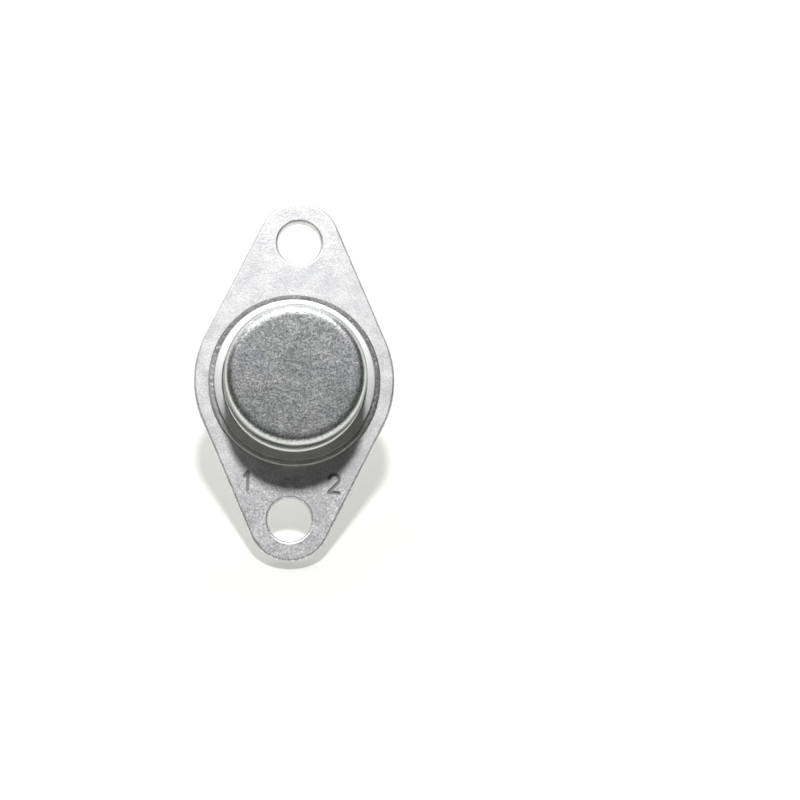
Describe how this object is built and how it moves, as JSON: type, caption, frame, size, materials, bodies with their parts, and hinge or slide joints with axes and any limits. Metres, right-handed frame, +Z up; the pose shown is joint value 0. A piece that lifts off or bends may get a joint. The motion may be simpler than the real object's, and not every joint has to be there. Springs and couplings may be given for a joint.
{
  "type": "power transistor",
  "caption": "Metal-can power transistor: round cap welded on a diamond flange with screw holes, straight leads in glass seals, chip and bond wires inside.",
  "frame": {"origin": "middle of the flange's underside, the face that seats on a heatsink", "axes": "+Z up through the cap, +Y along the flange away from the leads' line, +X across the flange; the leads point along -Z"},
  "size_m": [0.0176, 0.0316, 0.0167],
  "materials": {
    "plated_flange": "satin nickel plate, tumbled",
    "weld_ring": "nickel plate, darkened and rough at the weld",
    "plated_cap": "mottled nickel plate on drawn steel",
    "plated_leads": "satin nickel plate on sealing alloy",
    "seal_glass": "dark blue-green sealing glass, glossy",
    "copper": "bare copper, satin",
    "braze": "silver-copper braze",
    "solder": "soft solder",
    "silicon": "polished silicon with aluminium pads",
    "bond_wire": "drawn aluminium wire"
  },
  "bodies": {
    "root": {"flange": "plated_flange", "weld_ring": "weld_ring", "cap": "plated_cap", "base_pin": "plated_leads", "emitter_pin": "plated_leads", "base_glass_seal": "seal_glass", "emitter_glass_seal": "seal_glass", "heat_spreader": "copper", "spreader_braze": "braze", "die_solder": "solder", "silicon_die": "silicon", "base_bond_wire": "bond_wire", "emitter_bond_wire": "bond_wire"}
  },
  "joints": []
}
